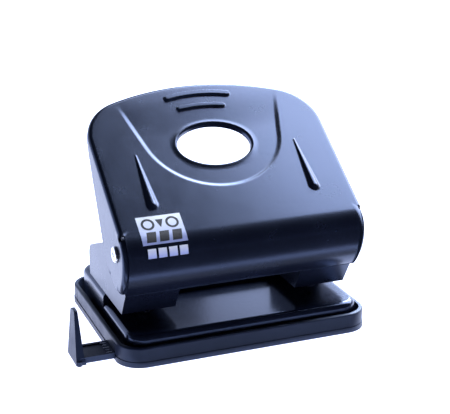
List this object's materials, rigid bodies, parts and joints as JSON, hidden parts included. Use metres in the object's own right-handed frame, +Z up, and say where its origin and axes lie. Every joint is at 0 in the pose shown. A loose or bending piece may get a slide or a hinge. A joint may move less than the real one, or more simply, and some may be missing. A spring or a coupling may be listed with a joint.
{
  "type": "hole punch",
  "caption": "Desk hole punch: a sprung pressed-steel handle drives two punch pins through paper into dies over a plastic chip tray with a sliding paper guide.",
  "frame": {"origin": "centre of the chip tray's underside, on the table plane", "axes": "+X to the right along the row of holes, -Y towards the side the paper enters from, +Z up"},
  "size_m": [0.1334, 0.09, 0.1016],
  "materials": {
    "tray_plastic": "fine matte grain",
    "guide_plastic": "fine matte grain",
    "base_paint": "gloss powder coat",
    "bracket_paint": "semi-gloss powder coat",
    "handle_paint": "semi-gloss powder coat",
    "press_bar_paint": "semi-gloss powder coat",
    "zinc_steel": "zinc plated",
    "hard_steel": "ground",
    "spring_steel": "bright drawn",
    "nickel": "nickel plated",
    "badge_print": "silver print"
  },
  "bodies": {
    "tray": {"chip_tray": "tray_plastic", "hinge_wire": "spring_steel"},
    "frame": {"base_plate": "base_paint", "bracket_left": "bracket_paint", "bracket_right": "bracket_paint", "pin_guide_left": "zinc_steel", "pin_guide_right": "zinc_steel", "die_left": "hard_steel", "die_right": "hard_steel", "rivet_left": "nickel", "rivet_right": "nickel", "spacer_left": "zinc_steel", "spacer_right": "zinc_steel", "bracket_rivets": "nickel", "spring_left": "spring_steel", "spring_right": "spring_steel"},
    "handle": {"handle": "handle_paint", "press_bar": "press_bar_paint", "badge": "badge_print"},
    "punch_left": {"pin_left": "hard_steel", "ring_left": "spring_steel"},
    "punch_right": {"pin_right": "hard_steel", "ring_right": "spring_steel"},
    "guide": {"paper_guide": "guide_plastic"}
  },
  "joints": [
    {"name": "tray_hinge", "type": "hinge", "parent": "tray", "child": "frame", "pos_m": [0, 0.0411, 0.0092], "axis": [-1, 0, 0], "range_deg": [0, 70]},
    {"name": "handle_hinge", "type": "hinge", "parent": "frame", "child": "handle", "pos_m": [0, -0.031, 0.047], "axis": [-1, 0, 0], "range_deg": [0, 21.72], "stiffness_Nm_per_rad": 0.5, "springref_deg": -22.92},
    {"name": "punch_left_slide", "type": "slide", "parent": "frame", "child": "punch_left", "axis": [0, 0, -1], "range_m": [0, 0.0067], "deforming": ["spring_left"]},
    {"name": "punch_right_slide", "type": "slide", "parent": "frame", "child": "punch_right", "axis": [0, 0, -1], "range_m": [0, 0.0067], "deforming": ["spring_right"]},
    {"name": "guide_slide", "type": "slide", "parent": "tray", "child": "guide", "axis": [-1, 0, 0], "range_m": [-0.0115, 0.076]}
  ],
  "couplings": [
    {"joint": "punch_left_slide", "follows": "handle_hinge", "m_per_rad": 0.017409},
    {"joint": "punch_right_slide", "follows": "handle_hinge", "m_per_rad": 0.017409}
  ]
}
